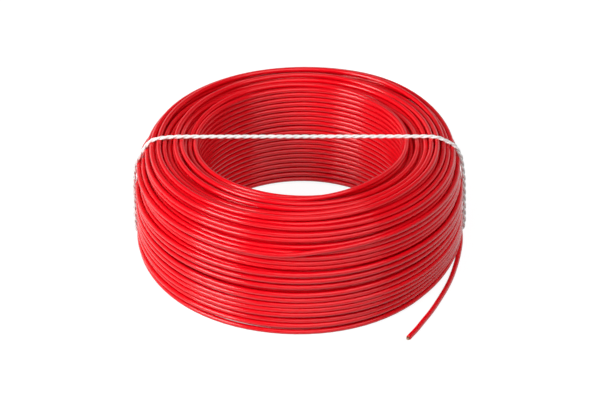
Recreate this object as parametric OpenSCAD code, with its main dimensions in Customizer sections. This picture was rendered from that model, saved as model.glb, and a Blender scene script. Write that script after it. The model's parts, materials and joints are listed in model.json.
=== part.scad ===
// Ring coil of single-core installation wire, tied across its bore with one string.
// The coil stands on its lower face. Its axis is +Z and the origin lies on that axis,
// level with the lower face. The string crosses the bore along X.

/* [Wire] */
// Outside diameter of the insulated wire
wire_d = 2.8; // [2.4:0.1:3.4]
// Diameter of one copper strand
strand_d = 0.25; // [0.2:0.01:0.28]
// Depth of the bare strands seen inside a cut end
strand_depth = 3; // [2:0.5:6]
// Length by which the strands stand out of a cut end
strand_proud = 0.4; // [0.2:0.1:1]

/* [Coil] */
// Diameter of the bore
bore_d = 112; // [100:1:140]
// Depth of the winding, from the bore to the outer wall
winding_depth = 34.9; // [30:0.1:42]
// Height of the coil
coil_h = 66; // [56:1:80]
// Width of the rounded shoulder, measured across the top
shoulder_w = 14.4; // [9:0.1:18]
// Height of the rounded shoulder, measured down the wall
shoulder_h = 25; // [15:0.5:32]
// Arc in which the last turns step down to the floor, past the string, in degrees
step_arc = 65; // [45:5:120]

/* [String] */
// Diameter of the string
string_d = 2.1; // [1.5:0.1:2.2]
// Length of the knot, along the string
knot_l = 6.4; // [5:0.2:9]
// Diameter of the knot
knot_d = 4.2; // [3.4:0.1:5]
// Length of each loose end of string, from the middle of the knot
string_end_l = 10; // [7:1:14]

/* [Hidden] */

insulation_color = "crimson";
copper_color = "darkgoldenrod";
string_color = "ivory";

// Clearances: loop to loop, loop to the layers under it, string to wire, strands to bore
loop_gap = 0.8;
seat_gap = 0.1;
string_gap = 0.2;
strand_gap = 0.03;
// Spacing of the strands' circles, in strand diameters
strand_pitch = 1.02;
strand_circles = 3;

// Centre line of the outer layer, in radius and height
wire_r = wire_d / 2;
bore_r = bore_d / 2;
first_r = bore_r + wire_r;
wall_r = bore_r + winding_depth - wire_r;
top_z = coil_h - wire_r;
shoulder_steps = 24;

// Rings of the outer layer's tube in each loop
loop_rings = 24;
ring_step = 360 / loop_rings;
// A chord between two rings sinks this share of the radius below its circle
chord_drop = 1 - cos(ring_step / 2);
// Azimuth at which the outer layer ends
last_azimuth = 40;
// The lowest turns step over the string that passes under them. Azimuth from the string
// at which the step is level, and at which it has come down
step_level = 12;
step_foot = 40;

// The outer end's route past the last loop: azimuth, distance out from the wall's
// centre line, and height above the floor as a share of the step over the string
free_route = [
    [30, 0, 0.3], [21, 0, 0.75], [12, 0, 1], [3, 0, 1], [-6, 0, 1], [-14, 0.2, 0.65],
    [-21, 1, 0.25], [-28, 2.6, 0], [-34, 4.5, 0], [-40, 7, 0], [-46, 10.4, 0],
    [-51.5, 14, 0], [-55.5, 17.4, 0], [-59.5, 21, 0]
];

// The inner end's route back from the first turn: azimuth, distance in from that turn's
// centre line, and height in wire radii, round inside the bore on the floor
start_azimuth = -144;
start_route = [
    [-134, 0, 1], [-125, 0.1, 1], [-116, 0.9, 1], [-107, 2.2, 1], [-98, 3.5, 1],
    [-89, 4.8, 1], [-80, 6.2, 1], [-71, 7.6, 1]
];
// Arc left open in the lowest turn for the inner end
rebate_arc = 50;

// Tube steps between two points of a route
route_steps = 2;

up = [0, 0, 1];

// Vectors
function unit(v) = v / norm(v);
function polar(azimuth, r, z) = [r * cos(azimuth), r * sin(azimuth), z];
// Direction of travel along the winding, which runs clockwise seen from above
function winding_direction(azimuth) = [sin(azimuth), -cos(azimuth), 0];

// Direction of a line of points at point i: halfway between its two stretches
function direction(points, i) =
    i == 0 ? unit(points[1] - points[0]) :
    i == len(points) - 1 ? unit(points[i] - points[i - 1]) :
    unit(unit(points[i + 1] - points[i]) + unit(points[i] - points[i - 1]));

// Point on a smooth curve through p[i] and p[i + 1], at share f of the way
function smooth_point(p, i, f) =
    let (a = p[i - 1], b = p[i], c = p[i + 1], d = p[i + 2])
    0.5 * (2 * b + (c - a) * f + (2 * a - 5 * b + 4 * c - d) * pow(f, 2)
           + (3 * b - a - 3 * c + d) * pow(f, 3));

// Smooth line through all but the first and last points, which only steer it
function smooth_line(p, steps) = concat(
    [for (i = [1 : len(p) - 3]) for (k = [0 : steps - 1]) smooth_point(p, i, k / steps)],
    [p[len(p) - 2]]);

// Tube along a line of points. Its sides are counted from the side vector.
module tube(points, d, sides, side, turn = 0) {
    vertices = [
        for (i = [0 : len(points) - 1])
            let (t = direction(points, i), u = unit(side - (side * t) * t), v = cross(t, u))
            for (k = [0 : sides - 1])
                let (a = 360 * k / sides + turn)
                points[i] + d / 2 * (cos(a) * u + sin(a) * v)
    ];
    last = (len(points) - 1) * sides;
    skin = [
        for (i = [0 : len(points) - 2]) for (k = [0 : sides - 1])
            let (a = i * sides + k, b = i * sides + (k + 1) % sides)
            for (face = [[a, b + sides, b], [a, a + sides, b + sides]]) face
    ];
    caps = [
        for (k = [1 : sides - 2])
            for (face = [[0, k, k + 1], [last, last + k + 1, last + k]]) face
    ];
    polyhedron(vertices, concat(skin, caps));
}

// String: its centre line's distance from that of the wire under it, its lowest height,
// and the height of the wire that it turns round at the foot of the wall
string_off = wire_r + string_gap + string_d / 2;
string_low_z = string_gap + string_d / 2;
turn_z = string_low_z + string_off;
step_h = turn_z - wire_r;

function smooth(f) = let (g = max(0, min(1, f))) g * g * (3 - 2 * g);
function over_string(azimuth) =
    let (a = abs(azimuth - 180 * round(azimuth / 180)))
    smooth((step_foot - a) / (step_foot - step_level));

// Outer layer: its centre line in section runs out over the top, round the shoulder
// and down the wall to the floor
function shoulder_point(a) =
    [wall_r - shoulder_w * (1 - cos(a)), top_z - shoulder_h * (1 - sin(a))];
function shoulder_normal(a) = unit([cos(a) / shoulder_w, sin(a) / shoulder_h]);
shoulder_angles = [for (k = [0 : shoulder_steps]) 90 * (1 - k / shoulder_steps)];
section_line = concat(
    [[first_r, top_z]], [for (a = shoulder_angles) shoulder_point(a)],
    [[wall_r, wire_r]]);
section_lengths = [
    for (i = 0, s = 0; i < len(section_line);
         i = i + 1, s = s + (i < len(section_line) ? norm(section_line[i] - section_line[i - 1]) : 0))
        s
];
section_length = section_lengths[len(section_line) - 1];
radius_table = [for (i = [0 : len(section_line) - 1]) [section_lengths[i], section_line[i][0]]];
height_table = [for (i = [0 : len(section_line) - 1]) [section_lengths[i], section_line[i][1]]];

loops = floor(section_length / (wire_d + loop_gap));
// The first turns go down evenly. Towards the last they lie more and more level, and step
// down in one arc past the string.
function even_run(i) = i / loop_rings;
function stepped_run(i) =
    let (whole = floor(i / loop_rings), turned = (i - whole * loop_rings) * ring_step)
    whole + smooth((turned - last_azimuth) / step_arc);
function run(i) = even_run(i) + (stepped_run(i) - even_run(i)) * even_run(i) / loops;
// The turns on the wall lie closer together where the string lifts the lowest
wall_foot_z = top_z - shoulder_h - wire_r;
function lifted(z, azimuth) =
    z + step_h * over_string(azimuth) * max(0, 1 - (z - wire_r) / wall_foot_z);
winding_points = [
    for (i = [0 : loops * loop_rings])
        let (azimuth = last_azimuth - ring_step * i, s = section_length * run(i) / loops)
        polar(azimuth, lookup(s, radius_table) * (1 + chord_drop / 2),
              lifted(lookup(s, height_table), azimuth))
];
winding_start = winding_points[0];
winding_end = winding_points[len(winding_points) - 1];
winding_run = wire_d * winding_direction(last_azimuth);
winding_line = concat(
    [winding_start - winding_run], winding_points, [winding_end + winding_run]);

// Least gap between one loop and the next, measured ring against ring
loop_gaps = [
    for (i = [0 : len(winding_points) - 1 - loop_rings])
        norm(winding_points[i + loop_rings] - winding_points[i]) - wire_d
];
echo(str("Loops of the outer layer: ", loops, ", least gap between them: ", min(loop_gaps), " mm"));

// Free ends
free_start = winding_end + winding_run;
free_points = concat(
    [free_start, free_start + winding_run],
    [for (p = free_route) polar(p[0], wall_r + p[1], wire_r + p[2] * step_h)]);
free_line = concat([free_start], smooth_line(concat(free_points,
    [2 * free_points[len(free_points) - 1] - free_points[len(free_points) - 2]]), route_steps));

start_point = polar(start_azimuth, first_r, wire_r);
start_run = -wire_d * winding_direction(start_azimuth);
start_points = concat(
    [start_point, start_point + start_run],
    [for (p = start_route) polar(p[0], first_r - p[1], p[2] * wire_r)]);
start_line = concat([start_point], smooth_line(concat(start_points,
    [2 * start_points[len(start_points) - 1] - start_points[len(start_points) - 2]]), route_steps));

// Layers under the outer one
core_wall_r = wall_r * (1 - chord_drop / 2) - wire_r - seat_gap;
core_top_z = top_z - wire_r - seat_gap;
function core_point(a) = shoulder_point(a) - (wire_r + seat_gap) * shoulder_normal(a)
    - [(wall_r - wire_r - seat_gap - core_wall_r) * cos(a), 0];
corner_steps = 6;
function corner(x, z, from, to) = [
    for (k = [0 : corner_steps])
        let (a = from + (to - from) * k / corner_steps)
        [x + wire_r * cos(a), z + wire_r * sin(a)]
];

// String round the coil, half of it: from the middle of the top span to the knot
knot_z = string_gap / 2 + knot_d / 2;
turn_steps = 5;
groove_w = string_d + 2 * string_gap;
groove_h = string_low_z + string_d / 2 + 2 * string_gap;
string_half = concat(
    [[0, top_z + string_off]],
    [for (a = shoulder_angles) if (a > 0) shoulder_point(a) + string_off * shoulder_normal(a)],
    [for (f = [0 : 0.25 : 0.75])
        [wall_r + string_off, top_z - shoulder_h - f * (top_z - shoulder_h - turn_z)]],
    [for (k = [0 : turn_steps])
        let (a = -90 * k / turn_steps)
        [wall_r + string_off * cos(a), turn_z + string_off * sin(a)]],
    [[bore_r, string_low_z], [knot_l / 2 + string_d, knot_z], [knot_l / 2, knot_z]]);
string_line = concat(
    [for (i = [len(string_half) - 1 : -1 : 1]) [-string_half[i][0], 0, string_half[i][1]]],
    [for (p = string_half) [p[0], 0, p[1]]]);

// Strands: circles of 4, 10 and 16 wires
bundle_d = strand_d * (1 + 2 * (0.74 + strand_pitch * (strand_circles - 1)));
module strands() {
    for (ring = [0 : strand_circles - 1])
        for (k = [0 : 3 + 6 * ring])
            rotate(360 * k / (4 + 6 * ring))
                translate([strand_d * (0.74 + strand_pitch * ring), 0, -strand_depth])
                    cylinder(h = strand_depth + strand_proud, d = strand_d, $fn = 16);
}

// Moves children from the origin, where +Z points out of the cut, to the end of a line
module at_cut_end(line) {
    d = direction(line, len(line) - 1);
    translate(line[len(line) - 1])
        rotate(atan2(d[1], d[0]))
            rotate([0, 90, 0])
                children();
}

// Length of wire with its cut end hollowed out round the strands
module cut_wire(line) {
    difference() {
        tube(line, wire_d, 8, up, 22.5);
        at_cut_end(line)
            translate([0, 0, -strand_depth])
                cylinder(h = strand_depth + wire_d, d = bundle_d + 2 * strand_gap, $fn = 32);
    }
}

// All the turns under the outer layer, with the groove that the string has pressed
// into the lower face and the gap that the inner end leaves in the lowest turn
module inner_layers() {
    color(insulation_color)
        difference() {
            rotate_extrude($fn = 144)
                polygon(concat(
                    corner(bore_r + wire_r, wire_r, 270, 180),
                    corner(bore_r + wire_r, core_top_z - wire_r, 180, 90),
                    [for (a = shoulder_angles) core_point(a)],
                    corner(core_wall_r - wire_r, wire_r, 0, -90)));
            translate([-core_wall_r - 1, -groove_w / 2, -1])
                cube([2 * core_wall_r + 2, groove_w, 1 + groove_h]);
            rotate(start_azimuth)
                rotate_extrude(angle = rebate_arc, $fn = 144)
                    translate([bore_r - 1, -1])
                        square([1 + wire_d + seat_gap, 1 + wire_d + seat_gap]);
        }
}

module outer_layer() {
    color(insulation_color)
        tube(winding_line, wire_d, 6, up);
}

module free_end() {
    color(insulation_color)
        cut_wire(free_line);
}

module free_end_strands() {
    color(copper_color)
        at_cut_end(free_line)
            strands();
}

module start_end() {
    color(insulation_color)
        cut_wire(start_line);
}

module start_end_strands() {
    color(copper_color)
        at_cut_end(start_line)
            strands();
}

module tie_string() {
    color(string_color)
        tube(string_line, string_d, 8, [0, 1, 0], 22.5);
}

// Knot under the coil, in the middle of the bore, with two short loose ends that lean
// away from the string and down to the floor
module tie_knot() {
    knot_mouth = string_d / 2 + string_gap;
    lean = 38;
    color(string_color) {
        translate([0, 0, knot_z])
            rotate([0, 90, 0])
                rotate_extrude($fn = 32)
                    polygon(concat(
                        [[0, -knot_l / 2]],
                        [for (k = [0 : 8])
                            let (a = -90 + 180 * k / 8)
                            [knot_mouth + (knot_d / 2 - knot_mouth) * cos(a), knot_l / 2 * sin(a)]],
                        [[0, knot_l / 2]]));
        for (side = [-1, 1])
            translate([0, 0, knot_z])
                rotate(90 - side * (90 - lean))
                    rotate([0, 90 + atan2(knot_z - string_low_z, string_end_l), 0])
                        cylinder(h = string_end_l, d = string_d, $fn = 24);
    }
}

inner_layers();
outer_layer();
free_end();
free_end_strands();
start_end();
start_end_strands();
tie_string();
tie_knot();
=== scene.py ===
"""Ring coil of insulated single-core wire, tied with one string, on a pale studio floor."""

import json
import math

import bmesh
import bpy
import numpy as np
from bpy.props import FloatProperty, FloatVectorProperty, IntProperty, PointerProperty
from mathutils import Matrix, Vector
from mathutils.geometry import convex_hull_2d

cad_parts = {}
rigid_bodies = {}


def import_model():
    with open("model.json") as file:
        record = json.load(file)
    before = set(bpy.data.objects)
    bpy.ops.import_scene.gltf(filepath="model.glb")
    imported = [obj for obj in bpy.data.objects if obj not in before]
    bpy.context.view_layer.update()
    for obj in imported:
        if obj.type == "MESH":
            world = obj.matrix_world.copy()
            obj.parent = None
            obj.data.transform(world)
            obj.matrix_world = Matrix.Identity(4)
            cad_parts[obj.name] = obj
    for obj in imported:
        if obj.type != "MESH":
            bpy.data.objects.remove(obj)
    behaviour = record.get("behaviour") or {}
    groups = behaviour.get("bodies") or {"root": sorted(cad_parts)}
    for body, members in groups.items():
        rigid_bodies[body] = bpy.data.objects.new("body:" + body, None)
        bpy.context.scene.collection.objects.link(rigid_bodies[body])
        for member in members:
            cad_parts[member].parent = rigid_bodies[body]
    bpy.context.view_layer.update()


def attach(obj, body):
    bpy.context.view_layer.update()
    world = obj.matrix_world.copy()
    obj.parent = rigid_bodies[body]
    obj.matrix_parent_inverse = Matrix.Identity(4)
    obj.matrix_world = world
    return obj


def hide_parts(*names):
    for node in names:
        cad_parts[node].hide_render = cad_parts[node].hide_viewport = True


bl_info = {
    "name": "Wire Coil",
    "version": (1, 0, 0),
    "blender": (4, 5, 0),
    "location": "View3D > Sidebar > Wire Coil",
    "description": "Winds a ring coil of insulated wire and ties it with string",
    "category": "Add Mesh",
}

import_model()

UP = Vector((0.0, 0.0, 1.0))
MILLIMETRE = 0.001

# Azimuth in degrees where the winding starts and where it ends. It runs clockwise seen from above.
START_AZIMUTH = -144
END_AZIMUTH = 40
# Degrees from one point of the wire to the next
AZIMUTH_STEP = 4
POINTS_PER_TURN = 360 // AZIMUTH_STEP

# The pieces of one length that the wire is made in, from its inner end to its outer end
WIRE_PIECES = ("inner_turns", "middle_turns", "outer_turns", "last_turns")

# The outer end past the last turn: azimuth, distance out from the wall's centre line in metres,
# and height above the floor as a share of the step over the string
OUTER_END_ROUTE = (
    (30, 0.0, 0.3),
    (21, 0.0, 0.75),
    (12, 0.0, 1.0),
    (3, 0.0, 1.0),
    (-6, 0.0, 1.0),
    (-14, 0.0002, 0.65),
    (-21, 0.001, 0.25),
    (-28, 0.0026, 0.0),
    (-34, 0.0045, 0.0),
    (-40, 0.007, 0.0),
    (-46, 0.0104, 0.0),
    (-51.5, 0.014, 0.0),
    (-55.5, 0.0174, 0.0),
    (-59.5, 0.021, 0.0),
)
# The inner end back from the first turn: azimuth, and distance in from that turn's centre line
# in metres
INNER_END_ROUTE = (
    (-134, 0.0),
    (-125, 0.0001),
    (-116, 0.0009),
    (-107, 0.0022),
    (-98, 0.0035),
    (-89, 0.0048),
    (-80, 0.0062),
    (-71, 0.0076),
)
# Points of the wire from one point of these routes to the next
ROUTE_STEPS = 5

# Across the top: share of the width between one layer and the next, from the bore outwards
LAYER_GAPS = (3.05, 3.05, 2.4, 2.4, 3.1, 3.1, 3.1, 3.0, 3.0, 2.95, 2.95)
# Height of each layer's top turn against an even shoulder, in millimetres, from the bore outwards,
# at some azimuths
BACK_RISES = (-1.2, 1.0, -4.6, -3.4, 1.0, -4.6, -4.2, 0.8, -0.8, 0.0, 0.0, 0.0)
LAYER_RISES = (
    (-135, (2.0, -0.6, 0.1, -1.6, 0.1, -1.3, 0.0, -0.3, -0.2, -0.6, 0.0, 0.0)),
    (-90, (2.2, 0.5, 0.0, -1.6, 0.0, -0.5, 0.0, -0.4, 0.0, -0.9, 0.0, 0.0)),
    (0, (0.0, -3.2, 0.0, -2.8, 0.0, 0.0, -0.2, -0.6, -0.6, -0.4, -0.2, 0.0)),
    (60, BACK_RISES),
    (130, BACK_RISES),
    (180, (0.0, -3.2, 0.2, -1.6, 0.2, -2.2, 0.0, -0.3, -0.5, -0.4, 0.0, 0.0)),
)
# How far below the top the layers start to lean to their places across it
LEAN_DEPTH = 0.018
# Half of the step from one layer to the next, which takes a seventh of a turn
HALF_STEP = 1 / 14

# Where the shoulder is fuller: azimuth, reach before and past it in degrees, and height in metres
FULL_SHOULDERS = (
    (52, 14, 19, 0.0048),
    (124, 28, 28, 0.0022),
    (161, 13, 13, 0.0018),
)
# Share of the depth where that swell starts, and the share in which it grows to its full height
SWELL_START = 0.3
SWELL_GROWTH = 0.62

# The lowest turns step over the string. Degrees from the string at which the step is level, and
# at which it has come down.
STEP_LEVEL = 12
STEP_FOOT = 40
# Degrees past the string in which the last turns step down to the floor
STEP_ARC = 65

# How far to either side the string squeezes the top, and pinches the wall
SQUEEZE_REACH = 0.013
PINCH_REACH = 0.022
# Height above the floor where the pinch is at its full depth
PINCH_HEIGHT = 0.03

# Where the foot of the wall is pressed in beside the loose end, and where it bulges out at the
# front: azimuth of the middle and reach to either side, in degrees
DENT_AZIMUTH = -31
DENT_REACH = 20
BULGE_AZIMUTH = -108
BULGE_REACH = 48

# The bore's lowest turns lie further in at the back: azimuth of the middle and reach to either
# side, in degrees, distance in, and the height up to which they do
INSET_AZIMUTH = 90
INSET_REACH = 55
INSET_DEPTH = 0.0013
INSET_HEIGHT = 0.014

# How much of the wander the first, second, middle and last layers have, the turns from one of its
# random values to the next, its share sideways, and the height in which it grows from the floor
WANDER_SHARES = (0.05, 0.3, 0.6, 1.0)
WANDER_STEP = 0.22
WANDER_SIDEWAYS = 0.6
WANDER_HEIGHT = 0.006

# How easily the first and the last turn are pushed, and the share of that in the bore's layer
FREEDOMS = (0.35, 1.0)
BORE_FREEDOM = 0.3
# Share of the way back to its guide that each round draws a turn, what the weight above adds to
# it on the floor, and the height in which that fades
HOLD = 0.004
FLOOR_HOLD = 0.03
FLOOR_HOLD_HEIGHT = 0.003
# How far a turn may be pushed past the even wall and the even top, and into the bore
GIVE = 0.0006
BORE_GIVE = 0.00005
# Share of an overlap that a round takes away, the distance in rooms within which pairs of turns
# are watched, and the rounds after which they are looked for again
PUSH_SHARE = 0.98
WATCHED_REACH = 1.3
WATCHED_ROUNDS = 12
# How often the guide is smoothed, and each round's pushes
GUIDE_SMOOTHING = 40
PUSH_SMOOTHING = 2

# Strands in each circle of the conductor
STRAND_CIRCLES = (4, 10, 16)
# Radius of the innermost circle and the step to the next, in strand diameters
INNER_CIRCLE = 0.74
CIRCLE_STEP = 1.02
# Room between the outermost strands and the insulation
STRAND_ROOM = 0.00003
# Share of a turn by which each circle of strands is turned on from the one inside it
CIRCLE_TURN = 0.07
# How far short and how far long of its length a strand may be cut, how much further out its bare
# tip may fray, and the starting number of both
UNEVEN_CUT = (-0.00025, 0.0002)
FRAY = 0.16
STRAND_SEED = 7
# Points along a strand
STRAND_POINTS = 9

# Faces round a strand and round a ply of the string, and the degrees between two faces from
# which their edge is sharp
STRAND_SIDES = 8
PLY_SIDES = 10
SHARP_ANGLE = 50

# How far from the string's plane a point of the wire still counts as a turn that the string
# crosses, and how far the string's middle stands off such a turn, in string diameters
CROSSING_REACH = 0.0002
STAND_OFF = 0.45
# Least radius of a ply in string diameters, and how much wider it is the other way
PLY_RADIUS = 0.262
PLY_SQUASH = 1.31
# Spun thread is a little thicker here and there: the share of its radius, and the length of the
# string to each radian of that wave
SPUN_SWELL = 0.05
SPUN_LENGTH = 0.0131
# Radians from one point to the next where the string bends round a turn, the spacing of the
# points in which it is led round the coil, the times that this line is smoothed, and the spacing
# of the finished line
BEND_STEP = 0.12
LOOP_SPACING = 0.001
LOOP_SMOOTHING = 10
STRING_SPACING = 0.0004
# Half of the knot, in millimetres from the middle of the knot: its loose end from the tip, the
# bight up to its turning point, from which it runs back mirrored in Y, and its standing part. The
# other half is the same, turned half round about the Y axis.
LOOSE_END_ROUTE = (
    (-7.9, 6.2, -1.15),
    (-6.6, 4.4, -1.1),
    (-5.2, 2.5, -0.6),
    (-3.9, 1.35, 0.5),
)
BIGHT_ROUTE = (
    (-2.6, 1.0, 0.95),
    (-1.4, 1.25, 0.35),
    (0.0, 1.9, -0.95),
    (1.3, 2.45, 0.15),
    (2.4, 1.9, 0.95),
    (2.95, 0.7, 1.1),
)
STANDING_POINT = (-4.4, -0.75, 0.85)
# Points of the string from one point of these routes to the next
KNOT_STEPS = 8

# Places of the camera and the lamps, the point that the lamps aim at, and the camera's dip below
# the horizon in degrees
CAMERA_PLACE = (-0.0005, -0.8856, 0.6065)
CAMERA_DIP = 33.31
KEY_LAMP_PLACE = (-1.2, -0.75, 0.75)
TOP_LAMP_PLACE = (0.35, -0.8, 1.25)
LAMP_AIM = Vector((0.0, 0.0, 0.03))
KEY_LAMP_SIZE = 0.8
TOP_LAMP_SIZE = 1.5
FLOOR_SIZE = 6.0
# Strength of the white that a direct view of the floor adds to its own light
FLOOR_GLOW = 0.88
# Height in the sky over which the backdrop fades into the ceiling, the stretch from front to back
# over which it grows to its full strength, both on a sphere of radius 1, and its strength in front
CEILING_FADE = (0.22, 0.5)
FRONT_FADE = (-0.6, 0.3)
FRONT_STRENGTH = 0.15


def length_setting(name, description, default, **limits):
    return FloatProperty(
        name=name, description=description, default=default, precision=5, unit="LENGTH", **limits
    )


def colour_setting(name, description, default):
    return FloatVectorProperty(
        name=name, description=description, default=default, min=0.0, max=1.0, subtype="COLOR"
    )


def power_setting(name, description, default):
    return FloatProperty(name=name, description=description, default=default, min=0.0, unit="POWER")


class WireSettings(bpy.types.PropertyGroup):
    """Sizes and finish of the wire"""

    diameter: length_setting(
        "Diameter", "Outside diameter of the insulated wire", 0.0028, min=0.0024, max=0.0034
    )
    sides: IntProperty(name="Sides", description="Faces round the wire", default=12, min=8, max=16)
    strand_diameter: length_setting("Strand diameter", "Diameter of one copper strand", 0.00025)
    strand_depth: length_setting(
        "Strand depth", "Depth of the bare strands seen inside a cut end", 0.003
    )
    strand_bare: length_setting("Bare length", "How far the strands stick out of a cut end", 0.0013)
    strand_lay: length_setting(
        "Strand lay", "Length in which the bundle of strands turns once", 0.03
    )
    colour: colour_setting("Insulation colour", "Colour of the insulation", (0.80, 0.001, 0.008))
    copper_colour: colour_setting("Copper colour", "Colour of the bare copper", (0.62, 0.42, 0.28))


class CoilSettings(bpy.types.PropertyGroup):
    """Sizes of the wound ring"""

    bore_radius: length_setting(
        "Bore radius", "Radius of the bore, to the face of its turns", 0.056
    )
    depth: length_setting(
        "Winding depth", "Depth of the winding, from the bore to the outer wall", 0.0349
    )
    height: length_setting("Height", "Height of the ring", 0.066)
    shoulder_width: length_setting(
        "Shoulder width", "Width of the rounded shoulder, across the top", 0.0144
    )
    shoulder_height: length_setting(
        "Shoulder height", "Height of the rounded shoulder, down the wall", 0.025
    )
    step_height: length_setting(
        "Step height", "Height by which the lowest turns step over the string", 0.0025
    )
    layers: IntProperty(
        name="Layers",
        description="Layers from the bore to the outer wall",
        default=12,
        min=8,
        max=14,
    )
    first_pitch: length_setting(
        "First layer's pitch", "Spacing of the turns in the layer that lines the bore", 0.00320
    )
    middle_pitch: length_setting(
        "Middle layers' pitch", "Spacing of the turns in the layers between", 0.00322
    )
    last_pitch: length_setting(
        "Last layer's pitch", "Spacing of the turns in the two outermost layers", 0.0034
    )
    squeeze: length_setting("Squeeze", "How far the string pulls the top of the coil down", 0.0012)
    pinch: length_setting(
        "Pinch", "How far the string pulls the wall in beside the loose end", 0.0026
    )
    dent: length_setting(
        "Dent", "How far the foot of the wall is pressed in beside the loose end", 0.0026
    )
    bulge: length_setting("Bulge", "How far the foot of the wall bulges out at the front", 0.0013)
    foot_height: length_setting(
        "Foot height", "Height above the floor up to which the wall is dented or bulges", 0.02
    )
    room: length_setting(
        "Room", "Least distance between the centres of two turns, as the winding settles", 0.00288
    )
    wander: length_setting(
        "Wander", "How far a turn of the outermost layer strays from its even place", 0.001
    )
    rounds: IntProperty(
        name="Rounds",
        description="Rounds in which the turns settle against each other",
        default=300,
        min=20,
        max=600,
    )
    seed: IntProperty(name="Seed", description="Starting number of the wander", default=8, min=0)


class StringSettings(bpy.types.PropertyGroup):
    """Sizes and finish of the string"""

    diameter: length_setting("Diameter", "Diameter of the string across both plies", 0.0021)
    lay: length_setting("Lay", "Length in which the two plies turn once round each other", 0.0092)
    ply_offset: length_setting(
        "Ply offset", "Distance of each ply's middle from the middle of the string", 0.0005
    )
    knot_height: length_setting(
        "Knot height", "Height of the middle of the knot above the floor", 0.0022
    )
    colour: colour_setting("String colour", "Colour of the string", (0.93, 0.93, 0.91))


class StageSettings(bpy.types.PropertyGroup):
    """Floor, light and camera"""

    floor_colour: colour_setting("Floor colour", "Colour of the floor", (0.24, 0.24, 0.24))
    key_power: power_setting("Key light", "Power of the lamp at the front left", 24.0)
    top_power: power_setting("Top light", "Power of the lamp above", 14.5)
    ceiling_strength: FloatProperty(
        name="Ceiling strength",
        description="Strength of the light from above, against a backdrop of strength 1",
        default=0.12,
        min=0.0,
        max=1.0,
    )
    lens: FloatProperty(
        name="Lens", description="Focal length of the camera", default=114.4, unit="CAMERA"
    )


# ---- lines


def polar(azimuth, radius, height):
    a = math.radians(azimuth)
    return np.array((radius * math.cos(a), radius * math.sin(a), height))


def smooth_line(points, steps):
    """Smooth line through all but the first and last points, which only steer it."""
    line = []
    for i in range(1, len(points) - 2):
        a, b, c, d = points[i - 1 : i + 3]
        for k in range(steps):
            f = k / steps
            bend = 2 * b + (c - a) * f + (2 * a - 5 * b + 4 * c - d) * f**2
            line.append(0.5 * (bend + (3 * b - a - 3 * c + d) * f**3))
    line.append(points[-2])
    return np.array(line)


def smoothed(line, times):
    """The line with each point drawn towards the middle of its neighbours."""
    line = line.copy()
    for _ in range(times):
        middle = 0.5 * (line[:-2] + line[2:])
        line[1:-1] += 0.5 * (middle - line[1:-1])
    return line


def step_lengths(points):
    return np.linalg.norm(np.diff(points, axis=0), axis=1)


def line_length(points):
    return float(step_lengths(points).sum())


def distance_along(points):
    """Distance from the first point to each point along the line."""
    return np.concatenate(((0.0,), np.cumsum(step_lengths(points))))


def even_line(points, spacing):
    """The same line with its points evenly spaced."""
    gone = distance_along(points)
    count = max(2, round(gone[-1] / spacing) + 1)
    at = np.linspace(0.0, gone[-1], count)
    return np.stack([np.interp(at, gone, points[:, axis]) for axis in range(3)], axis=1)


def carried_sides(points, side):
    """Direction of travel at each point, and a side direction carried along without twist."""
    ahead = np.gradient(points, axis=0)
    ahead /= np.linalg.norm(ahead, axis=1)[:, None]
    sides = []
    here = Vector(side)
    for direction in map(Vector, ahead):
        here = (here - direction * here.dot(direction)).normalized()
        sides.append(here)
    return ahead, np.array(sides)


# ---- shape of the ring


def ease(share):
    """Rises smoothly from 0 to 1 as the share does."""
    share = np.clip(share, 0.0, 1.0)
    return share * share * (3 - 2 * share)


def fading(distance, reach):
    """1 in the middle, and almost nothing at twice the reach."""
    return np.exp(-((distance / reach) ** 2))


def degrees_from(azimuth, other):
    """Degrees between two directions, the short way round."""
    return np.abs((np.degrees(azimuth) - other + 180) % 360 - 180)


def end_radii(coil, wire_radius):
    """Radius of the wire's centre in the bore's layer and in the outermost layer."""
    return coil.bore_radius + wire_radius, coil.bore_radius + coil.depth - wire_radius


def shoulder_height_at(coil, wire_radius, radius):
    """Height of the wire's centre on the top and the rounded shoulder."""
    wall = end_radii(coil, wire_radius)[1]
    share = np.clip((radius - (wall - coil.shoulder_width)) / coil.shoulder_width, 0.0, 1.0)
    return coil.height - wire_radius - coil.shoulder_height * (1 - np.sqrt(1 - share**2))


def top_rise(azimuth, layer):
    """Height of each layer's top turn against an even shoulder, round the ring."""
    places = [place for place, rises in LAYER_RISES]
    rises = np.array([rises for place, rises in LAYER_RISES]) * MILLIMETRE
    found = np.zeros(len(azimuth))
    for column in range(rises.shape[1]):
        here = layer == column
        degrees = np.degrees(azimuth[here])
        found[here] = np.interp(degrees, places, rises[:, column], period=360)
    return found


def shoulder_swell(coil, azimuth, radius, height):
    """How much higher each point lies where the shoulder is fuller."""
    start = coil.bore_radius + SWELL_START * coil.depth
    outward = ease((radius - start) / (SWELL_GROWTH * coil.depth))
    # In the upper half of the ring, and full from five sixths of its height
    high = ease(3 * height / coil.height - 1.5)
    swell = 0.0
    for place, before, past, rise in FULL_SHOULDERS:
        reach = np.where(np.degrees(azimuth) % 360 < place, before, past)
        swell = swell + rise * fading(degrees_from(azimuth, place), reach)
    return swell * outward * high


def squeeze_at(coil, azimuth, radius):
    """Share of its height that each turn keeps where the string pulls the coil together."""
    return 1 - coil.squeeze / coil.height * fading(radius * np.sin(azimuth), SQUEEZE_REACH)


def pinch_at(coil, azimuth, radius, height):
    """How far the string pulls the wall in at the side where the outer end leaves."""
    at_side = fading(radius * np.sin(azimuth), PINCH_REACH) * (np.cos(azimuth) > 0)
    outward = np.clip((radius - coil.bore_radius) / coil.depth, 0.0, 1.0)
    return coil.pinch * at_side * outward**2 * ease(height / PINCH_HEIGHT)


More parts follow.
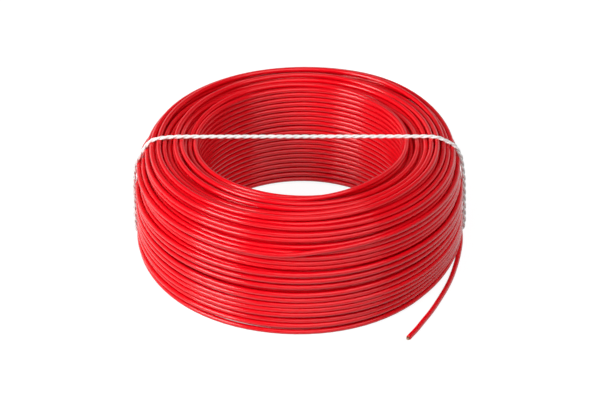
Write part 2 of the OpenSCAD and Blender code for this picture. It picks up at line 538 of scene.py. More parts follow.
def dent_at(coil, wire_radius, azimuth, radius, height):
    """How far each point is pressed in where the foot of the wall gives way."""
    outward = (radius - coil.bore_radius - wire_radius) / (coil.depth - 2 * wire_radius)
    # Full within half of the reach, and in the lowest three eighths of the foot
    round_it = ease(1.5 - degrees_from(azimuth, DENT_AZIMUTH) / DENT_REACH)
    down_it = ease(1.6 * (1 - height / coil.foot_height))
    return coil.dent * np.clip(outward, 0.0, 1.0) * round_it * down_it


def bulge_at(coil, azimuth, height):
    """How far the outermost turns bulge out at the foot of the wall."""
    round_it = fading(degrees_from(azimuth, BULGE_AZIMUTH), BULGE_REACH)
    # Full in the lowest sixth of the foot
    return coil.bulge * round_it * ease(1.2 * (1 - height / coil.foot_height))


def inset_at(azimuth, height, layer):
    """How far in the bore's lowest turns lie at the back."""
    round_it = fading(degrees_from(azimuth, INSET_AZIMUTH), INSET_REACH)
    return INSET_DEPTH * round_it * ease(1 - height / INSET_HEIGHT) * (layer == 0)


def step_over_string(azimuth):
    """0 to 1: how high the lowest turns are on their step over the string."""
    aside = np.minimum(degrees_from(azimuth, 0), degrees_from(azimuth, 180))
    return ease((STEP_FOOT - aside) / (STEP_FOOT - STEP_LEVEL))


# ---- winding


# Lines that were worked out already, by the settings that they follow from
WOUND_LINES = {}


def wander_along(turns, random):
    """Smooth random line with about unit size, one value for each point of the wire."""
    place = turns / WANDER_STEP
    values = random.normal(0.0, 1.0, int(place[-1]) + 5)
    first = place.astype(int)
    f = place - first
    # A cubic spline that is drawn by the values without passing through them. It strays less than
    # they do, and the factor of 1.4 makes up for that.
    weights = (
        (1 - f) ** 3,
        3 * f**3 - 6 * f**2 + 4,
        -3 * f**3 + 3 * f**2 + 3 * f + 1,
        f**3,
    )
    return 1.4 / 6 * sum(w * values[first + k] for k, w in enumerate(weights))


def even_winding(coil, wire_radius):
    """Turns gone, layer, radius and height of each point of an evenly wound wire."""
    first_radius, wall = end_radii(coil, wire_radius)
    radii = np.linspace(first_radius, wall, coil.layers)
    gaps = np.resize(LAYER_GAPS, coil.layers - 1)
    shares = np.concatenate(((0.0,), np.cumsum(gaps) / gaps.sum()))
    top_radii = first_radius + (wall - first_radius) * shares
    tops = shoulder_height_at(coil, wire_radius, top_radii)

    pitches = np.full(coil.layers, coil.middle_pitch)
    pitches[0] = coil.first_pitch
    pitches[-2:] = coil.last_pitch
    turns_in_layer = (tops - wire_radius) / pitches
    last_part = ((START_AZIMUTH - END_AZIMUTH) % 360) / 360
    total = round(turns_in_layer.sum() - last_part) + last_part
    turns_in_layer *= total / turns_in_layer.sum()
    turns = np.arange(round(total * POINTS_PER_TURN) + 1) / POINTS_PER_TURN
    edges = np.concatenate(((0.0,), np.cumsum(turns_in_layer)))
    layer = np.clip(np.searchsorted(edges, turns, side="right") - 1, 0, coil.layers - 1)

    # Towards the last turn the turns lie more and more level, and step down in one arc
    since = (turns - total) % 1
    stepped = turns - since + ease((since * 360 - END_AZIMUTH) / STEP_ARC)
    weight = np.where(layer == coil.layers - 1, (turns - edges[-2]) / turns_in_layer[-1], 0.0)
    paced = turns + (stepped - turns) * weight
    done = (paced - edges[layer]) / turns_in_layer[layer]
    up = np.where(layer % 2 == 0, done, 1 - done)
    azimuth = np.radians(START_AZIMUTH - 360 * turns)
    height = wire_radius + (tops[layer] + top_rise(azimuth, layer) - wire_radius) * up

    leaning = ease(1 - (coil.height - wire_radius - height) / LEAN_DEPTH)
    places = radii + (top_radii - radii) * leaning[:, None]
    point = np.arange(len(turns))
    radius = places[point, layer]
    inside = places[point, np.maximum(layer - 1, 0)]
    outside = places[point, np.minimum(layer + 1, coil.layers - 1)]
    into = turns - edges[layer]
    left = edges[layer + 1] - turns
    stepping_in = inside + (radius - inside) * ease((into + HALF_STEP) / (2 * HALF_STEP))
    stepping_out = radius + (outside - radius) * ease((HALF_STEP - left) / (2 * HALF_STEP))
    radius = np.where(into < HALF_STEP, stepping_in, radius)
    radius = np.where(left < HALF_STEP, stepping_out, radius)
    return turns, layer, radius, height


def close_pairs(place, reach):
    """Pairs of points at the same azimuth that lie within reach of each other."""
    rows = len(place) // POINTS_PER_TURN + 1
    # The last row's empty places lie far away
    grid = np.full((rows, POINTS_PER_TURN, 2), 1e3)
    grid.reshape(-1, 2)[: len(place)] = place
    found = []
    for column in range(POINTS_PER_TURN):
        section = grid[:, column]
        apart = section[:, None] - section[None]
        close = (apart**2).sum(axis=2) < reach**2
        i, j = np.nonzero(np.triu(close, 1))
        found.append(np.stack((i * POINTS_PER_TURN + column, j * POINTS_PER_TURN + column)))
    return np.concatenate(found, axis=1)


def pushed_apart(place, pairs, freedom, room):
    """The places after one round in which turns that lie too close push each other apart."""
    one, other = pairs
    # Neither of the two divisors may be zero
    weight = np.maximum(freedom[one] + freedom[other], 1e-9)
    apart = place[other] - place[one]
    distance = np.maximum(np.linalg.norm(apart, axis=1), 1e-9)
    overlap = np.maximum(room - distance, 0.0)
    push = apart * (PUSH_SHARE * overlap / distance / weight)[:, None]
    touching = np.bincount(one, overlap > 0, len(place))
    touching += np.bincount(other, overlap > 0, len(place))
    pushed = place.copy()
    for axis in (0, 1):
        moved = np.bincount(other, push[:, axis] * freedom[other], len(place))
        moved -= np.bincount(one, push[:, axis] * freedom[one], len(place))
        pushed[:, axis] += moved / np.maximum(touching, 1)
    return pushed


def settled_winding(coil, wire_radius):
    """Centre line of the whole winding, after its turns have pushed each other to their places."""
    turns, layer, radius, height = even_winding(coil, wire_radius)
    azimuth = np.radians(START_AZIMUTH - AZIMUTH_STEP * np.arange(len(turns)))
    random = np.random.default_rng(coil.seed)
    last = coil.layers - 1
    first_radius, wall = end_radii(coil, wire_radius)

    stray = np.interp(layer, (0, 1, last // 2 + 1, last), WANDER_SHARES) * coil.wander
    stray *= ease((height - wire_radius) / WANDER_HEIGHT)
    height = height + stray * wander_along(turns, random)
    radius = radius + WANDER_SIDEWAYS * stray * wander_along(turns, random)

    squeezed = squeeze_at(coil, azimuth, radius)
    height = height * squeezed
    inset = inset_at(azimuth, height, layer)
    radius = radius - inset - dent_at(coil, wire_radius, azimuth, radius, height)
    radius = radius - pinch_at(coil, azimuth, radius, height)
    outward = np.clip((radius - first_radius) / (wall - first_radius), 0.0, 1.0)
    radius = radius + bulge_at(coil, azimuth, height) * outward
    height = height + shoulder_swell(coil, azimuth, radius, height)
    lowest = wire_radius + coil.step_height * step_over_string(azimuth)
    wall_foot = coil.height - wire_radius - coil.shoulder_height
    height += (lowest - wire_radius) * np.clip(1 - height / wall_foot, 0.0, 1.0)
    guide = smoothed(np.stack((radius, height), axis=1), GUIDE_SMOOTHING)

    freedom = np.interp(turns, (0, turns[-1]), FREEDOMS)
    freedom[layer == 0] *= BORE_FREEDOM
    freedom[[0, -1]] = 0.0
    hold = HOLD + FLOOR_HOLD * np.exp(-(guide[:, 1:] - wire_radius) / FLOOR_HOLD_HEIGHT)
    room_above = GIVE + np.maximum(top_rise(azimuth, layer), 0.0)

    place = guide.copy()
    for round_number in range(coil.rounds):
        if round_number % WATCHED_ROUNDS == 0:
            pairs = close_pairs(place, WATCHED_REACH * coil.room)
        place = pushed_apart(place, pairs, freedom, coil.room)
        place = guide + smoothed(place - guide, PUSH_SMOOTHING) * (1 - hold)
        widest = wall + GIVE - dent_at(coil, wire_radius, azimuth, wall, place[:, 1])
        widest -= pinch_at(coil, azimuth, wall, place[:, 1])
        widest += bulge_at(coil, azimuth, place[:, 1])
        place[:, 0] = np.clip(place[:, 0], first_radius - BORE_GIVE - inset, widest)
        ceiling = shoulder_height_at(coil, wire_radius, place[:, 0]) * squeezed + room_above
        ceiling += shoulder_swell(coil, azimuth, place[:, 0], place[:, 1])
        place[:, 1] = np.minimum(np.maximum(place[:, 1], lowest), ceiling)
        place[0] = (first_radius, wire_radius)
        place[-1] = (wall, wire_radius)

    return np.stack(
        (place[:, 0] * np.cos(azimuth), place[:, 0] * np.sin(azimuth), place[:, 1]), axis=1
    )


def wire_line(coil, wire_radius):
    """Centre line of the whole wire, from its inner end to its outer end."""
    winding = settled_winding(coil, wire_radius)
    first_radius, wall = end_radii(coil, wire_radius)
    inner = [
        polar(azimuth, first_radius - inset, wire_radius) for azimuth, inset in INNER_END_ROUTE
    ]
    outer = [
        polar(azimuth, wall + outset, wire_radius + share * coil.step_height)
        for azimuth, outset, share in OUTER_END_ROUTE
    ]
    inner = [winding[1], winding[0], *inner, 2 * inner[-1] - inner[-2]]
    outer = [winding[-2], winding[-1], *outer, 2 * outer[-1] - outer[-2]]
    inner_end = smooth_line(inner, ROUTE_STEPS)[:0:-1]
    outer_end = smooth_line(outer, ROUTE_STEPS)[1:]
    line = np.concatenate((inner_end, winding, outer_end))
    line[:, 2] = np.maximum(line[:, 2], wire_radius)
    return line


def wound_wire(scene):
    """Centre line of the whole wire for the scene's settings, found once and kept."""
    coil = scene.coil_ring
    key = [getattr(coil, name) for name in type(coil).__annotations__]
    key = (scene.coil_wire.diameter, *key)
    if key not in WOUND_LINES:
        WOUND_LINES[key] = wire_line(coil, scene.coil_wire.diameter / 2)
    return WOUND_LINES[key]


# ---- string


def taut_loop(points, stand_off):
    """Line of a string pulled tight round points in the XZ plane, from the middle of its lower
    side, up the side towards +X, across the top and back to the middle of the lower side."""
    corners = [Vector(points[i]) for i in convex_hull_2d(points.tolist())]
    turning = sum(a.cross(b) for a, b in zip(corners, corners[1:] + corners[:1]))
    if turning < 0:
        corners.reverse()
    line = []
    befores = corners[-1:] + corners[:-1]
    afters = corners[1:] + corners[:1]
    for before, corner, after in zip(befores, corners, afters):
        come = corner - before
        leave = after - corner
        first = math.atan2(-come.x, come.y)
        sweep = (math.atan2(-leave.x, leave.y) - first) % (2 * math.pi)
        steps = max(1, math.ceil(sweep / BEND_STEP))
        for k in range(steps + 1):
            a = first + sweep * k / steps
            x = corner.x + stand_off * math.cos(a)
            line.append((x, 0.0, corner.y + stand_off * math.sin(a)))
    line = np.array(line)
    low = line[:, 2] < points[:, 1].mean()
    start = np.flatnonzero(low & (line[:, 0] > 0) & (np.roll(line[:, 0], 1) < 0))
    return np.roll(line, -start[0], axis=0)


def knot_halves(string):
    """Routes of the two halves of the knot, each from its loose end to its standing part."""
    middle = np.array((0.0, 0.0, string.knot_height))
    back = [(x, -y, z) for x, y, z in reversed(BIGHT_ROUTE)]
    route = np.array((*LOOSE_END_ROUTE, *BIGHT_ROUTE, *back, STANDING_POINT)) * MILLIMETRE
    left = route + middle
    right = route * (-1, 1, -1) + middle
    # Both loose ends come down to the floor
    right[: len(LOOSE_END_ROUTE), 2] = left[: len(LOOSE_END_ROUTE), 2]
    return left, right


def drawn_out(route, *beyond):
    """Smooth line along a route from its first point, on towards the points beyond it."""
    return smooth_line([2 * route[0] - route[1], *route, *beyond], KNOT_STEPS)


def string_line(scene):
    """Centre line of the whole string, from one loose end through the knot, round the coil and
    through the knot to the other, with the numbers of the points where the knot ends and starts."""
    string = scene.coil_string
    wire = wound_wire(scene)
    crossing = wire[np.abs(wire[:, 1]) < CROSSING_REACH]
    stand_off = scene.coil_wire.diameter / 2 + STAND_OFF * string.diameter
    loop = even_line(taut_loop(crossing[:, (0, 2)], stand_off), LOOP_SPACING)
    # The string is too stiff to bend sharply
    loop = smoothed(loop, LOOP_SMOOTHING)
    left, right = knot_halves(string)
    to_loop = drawn_out(right, loop[0], loop[1])
    from_loop = drawn_out(left, loop[-1], loop[-2])[::-1]
    line = even_line(np.concatenate((to_loop, loop[1:-1], from_loop)), STRING_SPACING)
    total = line_length(line)
    first = line_length(drawn_out(right, loop[0]))
    last = total - line_length(drawn_out(left, loop[-1]))
    return line, round(first / total * (len(line) - 1)), round(last / total * (len(line) - 1))


def plied_parts(string, line, first, last):
    """The two twisted plies of a stretch of the string."""
    ahead, sides = carried_sides(line, Vector((0.0, 1.0, 0.0)))
    across = np.cross(ahead, sides)
    gone = np.linspace(0.0, line_length(line), len(line))
    part = slice(first, last + 1)
    parts = []
    for start in (0.0, math.pi):
        turn = (start - 2 * math.pi * gone / string.lay)[:, None]
        out = np.cos(turn) * sides + np.sin(turn) * across
        swell = 1 + SPUN_SWELL * np.sin(gone / SPUN_LENGTH + start)
        radii = PLY_RADIUS * string.diameter * swell
        rows = (line + string.ply_offset * out, ahead, out, radii, gone)
        rows = [row[part] for row in rows]
        parts.append(tube_part(*rows, PLY_SIDES, squash=PLY_SQUASH, spin=-2 * turn[part, 0]))
    return parts


# ---- meshes


def linked_object(name, data):
    piece = bpy.data.objects.new(name, data)
    bpy.context.scene.collection.objects.link(piece)
    return piece


def add_piece(name, parts, material):
    """Joins tubes into one piece that rides on the part."""
    mesh = joined_mesh(name, parts)
    piece = linked_object(name, mesh)
    mesh.materials.append(material)
    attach(piece, "root")
    return piece


def tube_part(centres, ahead, sides, radii, along, count, squash=1.0, spin=0.0):
    """Points, faces and lay of a closed tube. The lay is each point's place round the tube as a
    cosine and sine, turned by the spin, and its distance along the tube."""
    across = np.cross(ahead, sides) * squash
    angles = 2 * math.pi * np.arange(count) / count
    ring = np.cos(angles)[None, :, None] * sides[:, None]
    ring = ring + np.sin(angles)[None, :, None] * across[:, None]
    points = centres[:, None] + ring * np.array(radii)[:, None, None]
    rows = len(centres)
    corner = (np.arange(rows - 1) * count)[:, None]
    first = corner + np.arange(count)
    second = corner + (np.arange(count) + 1) % count
    quads = np.stack((first, second, second + count, first + count), axis=2)
    ends = np.arange(count)
    lay = np.empty((rows, count, 3))
    turned = angles[None, :] + np.broadcast_to(spin, rows)[:, None]
    lay[:, :, 0] = np.cos(turned)
    lay[:, :, 1] = np.sin(turned)
    lay[:, :, 2] = np.array(along)[:, None]
    faces = (quads.reshape(-1, 4), ends[::-1], ends + (rows - 1) * count)
    return points.reshape(-1, 3), faces, lay.reshape(-1, 3)


def joined_mesh(name, parts):
    """One mesh of several tubes, with their lay as the attribute 'lay'."""
    points = np.concatenate([part[0] for part in parts])
    lay = np.concatenate([part[2] for part in parts])
    faces = []
    before = 0
    for own_points, (quads, start, end), _ in parts:
        faces.extend((quads + before).tolist())
        faces.append((start + before).tolist())
        faces.append((end + before).tolist())
        before += len(own_points)
    mesh = bpy.data.meshes.new(name)
    mesh.from_pydata(points, [], faces)
    attribute = mesh.attributes.new("lay", "FLOAT_VECTOR", "POINT")
    attribute.data.foreach_set("vector", lay.astype(np.float32).ravel())
    mesh.shade_smooth()
    mesh.set_sharp_from_angle(angle=math.radians(SHARP_ANGLE))
    mesh.update()
    return mesh


def with_cut_end(centres, ahead, sides, radii, along, recess, depth):
    """Adds the rings of a square cut end to a tube: a softened rim, and the hole that the
    conductor lies in."""
    radius = radii[-1]
    # Each ring's distance past the tube's last ring, and its radius
    rings = (
        (0.00004, 0.985 * radius),
        (0.00006, 0.95 * radius),
        (0.00006, recess + 0.00004),
        (0.00003, recess),
        (-depth, recess),
    )
    offsets = np.array([offset for offset, _ in rings])
    centres = np.concatenate((centres, centres[-1] + offsets[:, None] * ahead[-1]))
    along = np.concatenate((along, along[-1] + offsets))
    radii = np.concatenate((radii, [ring_radius for _, ring_radius in rings]))
    ahead = np.concatenate((ahead, np.repeat(ahead[-1:], len(rings), axis=0)))
    sides = np.concatenate((sides, np.repeat(sides[-1:], len(rings), axis=0)))
    return centres, ahead, sides, radii, along


def circle_radius(wire, circle):
    """Radius of a circle of strands, to the strands' centres."""
    return wire.strand_diameter * (INNER_CIRCLE + CIRCLE_STEP * circle)


def strand_parts(wire, end, ahead, side):
    """The bundle of strands in a cut end, cut a little uneven."""
    random = np.random.default_rng(STRAND_SEED)
    across = np.cross(ahead, side)
    parts = []
    for circle, count in enumerate(STRAND_CIRCLES):
        out = circle_radius(wire, circle)
        for k in range(count):
            tip = wire.strand_bare + random.uniform(*UNEVEN_CUT)
            gone = np.linspace(-wire.strand_depth, tip, STRAND_POINTS)
            turn = 2 * math.pi * (k / count + CIRCLE_TURN * circle + gone / wire.strand_lay)
            spread = out * (1 + random.uniform(0.0, FRAY) * ease(gone / tip))
            offset = np.cos(turn)[:, None] * side + np.sin(turn)[:, None] * across
            centres = end + gone[:, None] * ahead + spread[:, None] * offset
            own_ahead, own_sides = carried_sides(centres, side)
            radii = np.full(len(gone), wire.strand_diameter / 2)
            parts.append(tube_part(centres, own_ahead, own_sides, radii, gone, STRAND_SIDES))
    return parts


# ---- materials


def new_material(name):
    """Material with a Principled shader, and that shader."""
    material = bpy.data.materials.new(name)
    material.use_nodes = True
    tree = material.node_tree
    tree.nodes.clear()
    output = tree.nodes.new("ShaderNodeOutputMaterial")
    shader = tree.nodes.new("ShaderNodeBsdfPrincipled")
    tree.links.new(shader.outputs["BSDF"], output.inputs["Surface"])
    return material, shader


def found_material(name, make, colour):
    return bpy.data.materials.get(name) or make(colour)


def noise_group(name, *noises):
    """Node group that puts out noises, each with an input for its scale. A noise is the output's
    name, the input's name and default, the detail, the roughness and the stretch of the lay that
    it lies on, or None for the object's own space."""
    group = bpy.data.node_groups.new(name, "ShaderNodeTree")
    for output, scale, default, *_ in noises:
        socket = group.interface.new_socket(scale, in_out="INPUT", socket_type="NodeSocketFloat")
        socket.default_value = default
        group.interface.new_socket(output, in_out="OUTPUT", socket_type="NodeSocketFloat")
    entry = group.nodes.new("NodeGroupInput")
    end = group.nodes.new("NodeGroupOutput")
    for output, scale, _, detail, roughness, stretch in noises:
        node = group.nodes.new("ShaderNodeTexNoise")
        node.inputs["Detail"].default_value = detail
        node.inputs["Roughness"].default_value = roughness
        place = stretched_lay(group, stretch) if stretch else object_space(group)
        group.links.new(place, node.inputs["Vector"])
        group.links.new(entry.outputs[scale], node.inputs["Scale"])
        group.links.new(node.outputs["Fac"], end.inputs[output])
    return group


def stretched_lay(tree, stretch):
    """The lay attribute with its directions stretched."""
    lay = tree.nodes.new("ShaderNodeAttribute")
    lay.attribute_name = "lay"
    mapping = tree.nodes.new("ShaderNodeMapping")
    mapping.inputs["Scale"].default_value = stretch
    tree.links.new(lay.outputs["Vector"], mapping.inputs["Vector"])
    return mapping.outputs["Vector"]


def object_space(tree):
    return tree.nodes.new("ShaderNodeTexCoord").outputs["Object"]


def drawn_marks_group():
    """Fine lines along a wire that came out of a die, and slow changes along its length."""
    return noise_group(
        "drawn_marks",
        ("Lines", "Line Count", 6.0, 3.0, 0.5, (1.0, 1.0, 4.0)),
        ("Slow", "Slow Scale", 3.0, 3.0, 0.5, (0.02, 0.02, 1.0)),
    )


def handling_group():
    """Scuffs and dull patches from handling."""
    return noise_group(
        "handling",
        ("Patches", "Scale", 60.0, 4.0, 0.6, None),
        ("Grain", "Fine Scale", 900.0, 2.0, 0.5, None),
    )


def placed_group(tree, make, **values):
    """Puts in the group that the function makes, made once for all materials."""
    name = make.__name__.removesuffix("_group")
    node = tree.nodes.new("ShaderNodeGroup")
    node.node_tree = bpy.data.node_groups.get(name) or make()
    for label, value in values.items():
        node.inputs[label.replace("_", " ").title()].default_value = value
    return node


def math_node(tree, operation, first, second):
    """Math node fed by sockets or plain numbers. Gives its output."""
    node = tree.nodes.new("ShaderNodeMath")
    node.operation = operation
    for socket, value in zip(node.inputs, (first, second)):
        if isinstance(value, bpy.types.NodeSocket):
            tree.links.new(value, socket)
        else:
            socket.default_value = value
    return node.outputs[0]


def range_node(tree, value, span, to_span):
    """The value with one span mapped to another, and held at its ends."""
    node = tree.nodes.new("ShaderNodeMapRange")
    tree.links.new(value, node.inputs["Value"])
    labels = ("From Min", "From Max", "To Min", "To Max")
    for label, limit in zip(labels, (*span, *to_span)):
        node.inputs[label].default_value = limit
    return node.outputs["Result"]


def link_bump(tree, shader, height, strength, distance):
    node = tree.nodes.new("ShaderNodeBump")
    node.inputs["Strength"].default_value = strength
    node.inputs["Distance"].default_value = distance
    tree.links.new(height, node.inputs["Height"])
    tree.links.new(node.outputs["Normal"], shader.inputs["Normal"])


def link_colour(tree, shader, factor, colour, low, high):
    """Base colour that goes from a low to a high share of its brightness, by the factor."""
    node = tree.nodes.new("ShaderNodeMix")
    node.data_type = "RGBA"
    tree.links.new(factor, node.inputs["Factor"])
    ends = [socket for socket in node.inputs if socket.type == "RGBA"]
    for socket, share in zip(ends, (low, high)):
        socket.default_value = (*(min(1.0, part * share) for part in colour), 1.0)
    mixed = next(socket for socket in node.outputs if socket.type == "RGBA")
    tree.links.new(mixed, shader.inputs["Base Color"])


def link_roughness(tree, shader, value, span, to_span):
    tree.links.new(range_node(tree, value, span, to_span), shader.inputs["Roughness"])


def insulation_material(colour):
    """Soft PVC with a soft gloss: fine drawn lines, dull patches, and a tone that drifts along
    the wire, so that no two turns are quite alike."""
    material, shader = new_material("soft_pvc")
    tree = material.node_tree
    marks = placed_group(tree, drawn_marks_group, line_count=5.0, slow_scale=2.2)
    wear = placed_group(tree, handling_group, scale=70.0, fine_scale=1500.0)
    link_colour(tree, shader, marks.outputs["Slow"], colour, 0.90, 1.08)
    dullness = math_node(tree, "ADD", wear.outputs["Patches"], marks.outputs["Lines"])
    link_roughness(tree, shader, dullness, (0.7, 1.3), (0.14, 0.24))
    fine = math_node(tree, "MULTIPLY", wear.outputs["Grain"], 0.35)
    relief = math_node(tree, "ADD", marks.outputs["Lines"], fine)
    link_bump(tree, shader, relief, strength=0.25, distance=0.00003)
    shader.inputs["IOR"].default_value = 1.5
    shader.inputs["Specular IOR Level"].default_value = 0.45
    return material


def copper_material(colour):
    """Bare annealed copper, drawn fine, with a little tarnish."""
    material, shader = new_material("annealed_copper")
    tree = material.node_tree
    marks = placed_group(tree, drawn_marks_group, line_count=7.0, slow_scale=400.0)
    link_colour(tree, shader, marks.outputs["Slow"], colour, 0.72, 1.05)
    link_roughness(tree, shader, marks.outputs["Lines"], (0.3, 0.7), (0.22, 0.42))
    link_bump(tree, shader, marks.outputs["Lines"], strength=0.3, distance=0.00001)
    shader.inputs["Metallic"].default_value = 1.0
    return material


def string_material(colour):
    """White spun string: fine fibres that run at a slant round each ply, and let light through."""
    material, shader = new_material("spun_string")
    tree = material.node_tree
    marks = placed_group(tree, drawn_marks_group, line_count=9.0, slow_scale=120.0)
    link_colour(tree, shader, marks.outputs["Lines"], colour, 0.90, 1.06)
    relief = math_node(tree, "ADD", marks.outputs["Lines"], marks.outputs["Slow"])
    link_roughness(tree, shader, marks.outputs["Slow"], (0.3, 0.7), (0.70, 0.85))
    link_bump(tree, shader, relief, strength=0.5, distance=0.00008)
    shader.inputs["Subsurface Weight"].default_value = 0.3
    shader.inputs["Subsurface Radius"].default_value = (1.0, 1.0, 1.0)
    shader.inputs["Subsurface Scale"].default_value = 0.001
    shader.inputs["Sheen Weight"].default_value = 0.5
    shader.inputs["Sheen Roughness"].default_value = 0.4
    return material


def seen_directly(tree):
    """1 where the camera sees a surface or the sky itself, in a mirror or through glass."""
    path = tree.nodes.new("ShaderNodeLightPath")
    seen = math_node(tree, "MAXIMUM", path.outputs["Is Camera Ray"], path.outputs["Is Glossy Ray"])
    return math_node(tree, "MAXIMUM", seen, path.outputs["Is Transmission Ray"])


def floor_material(colour):
    """Pale matt board that stays white where no shadow falls."""
    material, shader = new_material("floor_board")
    tree = material.node_tree
    wear = placed_group(tree, handling_group, scale=14.0, fine_scale=500.0)
    link_colour(tree, shader, wear.outputs["Patches"], colour, 0.99, 1.01)
    shader.inputs["Roughness"].default_value = 0.9
    shader.inputs["Specular IOR Level"].default_value = 0.1
    shader.inputs["Emission Color"].default_value = (1.0, 1.0, 1.0, 1.0)
    glow = math_node(tree, "MULTIPLY", seen_directly(tree), FLOOR_GLOW)
    tree.links.new(glow, shader.inputs["Emission Strength"])
    return material


# ---- stage


def add_world(scene, ceiling_strength):
    """White backdrop behind the coil, which fades into a dim ceiling and a dim front."""
    world = bpy.data.worlds.new("studio")
    world.use_nodes = True
    scene.world = world
    tree = world.node_tree
    tree.nodes.clear()
    output = tree.nodes.new("ShaderNodeOutputWorld")
    light = tree.nodes.new("ShaderNodeBackground")
    light.inputs["Color"].default_value = (1.0, 1.0, 1.0, 1.0)
    direction = tree.nodes.new("ShaderNodeTexCoord")
    parts = tree.nodes.new("ShaderNodeSeparateXYZ")
    tree.links.new(direction.outputs["Generated"], parts.inputs["Vector"])
    low = range_node(tree, parts.outputs["Z"], CEILING_FADE, (1.0, ceiling_strength))
    behind = range_node(tree, parts.outputs["Y"], FRONT_FADE, (FRONT_STRENGTH, 1.0))
    strength = math_node(tree, "MULTIPLY", low, behind)
    tree.links.new(strength, light.inputs["Strength"])
    tree.links.new(light.outputs["Background"], output.inputs["Surface"])


def add_lamp(name, place, size, power):
    """Square soft lamp that points at the coil."""
    lamp = bpy.data.lights.new(name, "AREA")
    lamp.shape = "SQUARE"
    lamp.size = size
    lamp.energy = power
    piece = linked_object(name, lamp)
    piece.location = place
    aim = LAMP_AIM - Vector(place)
    piece.rotation_euler = aim.to_track_quat("-Z", "Y").to_euler()


def add_floor(colour):
    floor = bpy.data.meshes.new("floor")
    shape = bmesh.new()
    bmesh.ops.create_grid(shape, x_segments=1, y_segments=1, size=FLOOR_SIZE)
    shape.to_mesh(floor)
    shape.free()
    floor.materials.append(floor_material(colour))
    linked_object("floor", floor)


def add_camera(scene, lens):
    camera = bpy.data.cameras.new("camera")
    camera.sensor_width = 36.0
    camera.sensor_fit = "HORIZONTAL"
    camera.lens = lens
    camera.clip_start = 0.05
    camera.clip_end = 20.0
    piece = linked_object("camera", camera)
    piece.location = CAMERA_PLACE
    piece.rotation_euler = (math.radians(90 - CAMERA_DIP), 0.0, 0.0)
    scene.camera = piece


# ---- operators


class SCENE_OT_coil_stage(bpy.types.Operator):
    """Floor, light, background and camera"""

    bl_idname = "scene.coil_stage"
    bl_label = "Set the Stage"

    def execute(self, context):
        stage = context.scene.coil_stage
        context.scene.view_settings.view_transform = "Standard"
        add_floor(stage.floor_colour)
        add_world(context.scene, stage.ceiling_strength)
        add_lamp("key_lamp", KEY_LAMP_PLACE, KEY_LAMP_SIZE, stage.key_power)
        add_lamp("top_lamp", TOP_LAMP_PLACE, TOP_LAMP_SIZE, stage.top_power)
        add_camera(context.scene, stage.lens)
        return {"FINISHED"}


class MESH_OT_coil_strands(bpy.types.Operator):
    """The copper strands in both cut ends of the wire"""

    bl_idname = "mesh.coil_strands"
    bl_label = "Bare the Strands"

    def execute(self, context):
        wire = context.scene.coil_wire
        line = wound_wire(context.scene)
        ahead, sides = carried_sides(line, UP)
        material = found_material("annealed_copper", copper_material, wire.copper_colour)
        ends = (
            ("inner_end_strands", "start_end_strands", line[0], -ahead[0], sides[0]),
            ("loose_end_strands", "free_end_strands", line[-1], ahead[-1], sides[-1]),
        )
        for name, node, *place in ends:
            piece = add_piece(name, strand_parts(wire, *place), material)
            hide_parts(node)
        return {"FINISHED"}


class MESH_OT_coil_winding(bpy.types.Operator):
    """The whole wire, wound turn by turn, with both of its ends"""

    bl_idname = "mesh.coil_winding"
    bl_label = "Wind the Wire"

    def execute(self, context):
        wire = context.scene.coil_wire
        line = wound_wire(context.scene)
        if not np.isfinite(line).all():
            raise RuntimeError("the winding didn't settle")
        material = found_material("soft_pvc", insulation_material, wire.colour)
        ahead, sides = carried_sides(line, UP)
        along = distance_along(line)
        count = len(WIRE_PIECES)
        cuts = np.searchsorted(along, along[-1] * np.arange(1, count) / count)
        edges = (0, *cuts.tolist(), len(line) - 1)
        hole = circle_radius(wire, len(STRAND_CIRCLES) - 1) + wire.strand_diameter / 2 + STRAND_ROOM
        pieces = bpy.data.objects
        for name, first, last in zip(WIRE_PIECES, edges, edges[1:]):
            part = slice(first, last + 1)
            stretch = (line[part], ahead[part], sides[part])
            measure = along[part]
            strands = []
            if first == 0:
                # Turned round, so that its cut end is its last ring
                stretch = (stretch[0][::-1], -stretch[1][::-1], stretch[2][::-1])
                measure = measure[::-1]
                strands.append(pieces["inner_end_strands"])
            if last == len(line) - 1:
                strands.append(pieces["loose_end_strands"])
            bare = bool(strands)
            path = stretch[0]
            radii = np.full(len(path), wire.diameter / 2)
            if bare:
                *stretch, radii, measure = with_cut_end(
                    *stretch, radii, measure, hole, wire.strand_depth
                )
            parts = [tube_part(*stretch, radii, measure, wire.sides)]
            piece = add_piece(name, parts, material)
        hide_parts("inner_layers", "start_end")
        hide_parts("outer_layer", "free_end")
        return {"FINISHED"}


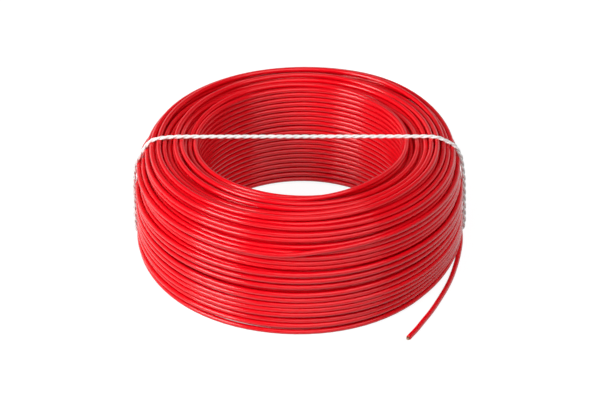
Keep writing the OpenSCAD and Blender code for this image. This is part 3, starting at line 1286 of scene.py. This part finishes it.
class MESH_OT_coil_knot(bpy.types.Operator):
    """The reef knot that closes the string, with its two loose ends"""

    bl_idname = "mesh.coil_knot"
    bl_label = "Tie the Knot"

    def execute(self, context):
        string = context.scene.coil_string
        line, first, last = string_line(context.scene)
        halves = plied_parts(string, line, 0, first)
        halves += plied_parts(string, line, last, len(line) - 1)
        material = found_material("spun_string", string_material, string.colour)
        piece = add_piece("reef_knot", halves, material)
        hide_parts("tie_knot")
        return {"FINISHED"}


class MESH_OT_coil_string(bpy.types.Operator):
    """The two-ply string, pulled tight round the coil"""

    bl_idname = "mesh.coil_string"
    bl_label = "Stretch the String"

    def execute(self, context):
        string = context.scene.coil_string
        line, first, last = string_line(context.scene)
        parts = plied_parts(string, line, first, last)
        material = found_material("spun_string", string_material, string.colour)
        piece = add_piece("taut_string", parts, material)
        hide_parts("tie_string")
        return {"FINISHED"}


class VIEW3D_PT_wire_coil(bpy.types.Panel):
    """Lists the steps that build the coil"""

    bl_label = "Wire Coil"
    bl_idname = "VIEW3D_PT_wire_coil"
    bl_space_type = "VIEW_3D"
    bl_region_type = "UI"
    bl_category = "Wire Coil"

    def draw(self, context):
        for operator in OPERATORS:
            self.layout.operator(operator.bl_idname)


OPERATORS = (
    SCENE_OT_coil_stage,
    MESH_OT_coil_strands,
    MESH_OT_coil_winding,
    MESH_OT_coil_knot,
    MESH_OT_coil_string,
)
GROUPS = (
    ("coil_wire", WireSettings),
    ("coil_ring", CoilSettings),
    ("coil_string", StringSettings),
    ("coil_stage", StageSettings),
)


def register():
    for name, group in GROUPS:
        bpy.utils.register_class(group)
        setattr(bpy.types.Scene, name, PointerProperty(type=group))
    for kind in (*OPERATORS, VIEW3D_PT_wire_coil):
        bpy.utils.register_class(kind)


def unregister():
    for kind in (VIEW3D_PT_wire_coil, *reversed(OPERATORS)):
        bpy.utils.unregister_class(kind)
    for name, group in reversed(GROUPS):
        delattr(bpy.types.Scene, name)
        bpy.utils.unregister_class(group)


def main():
    register()
    bpy.ops.scene.coil_stage()
    bpy.ops.mesh.coil_strands()
    bpy.ops.mesh.coil_winding()
    bpy.ops.mesh.coil_knot()
    bpy.ops.mesh.coil_string()


if __name__ == "__main__":
    main()
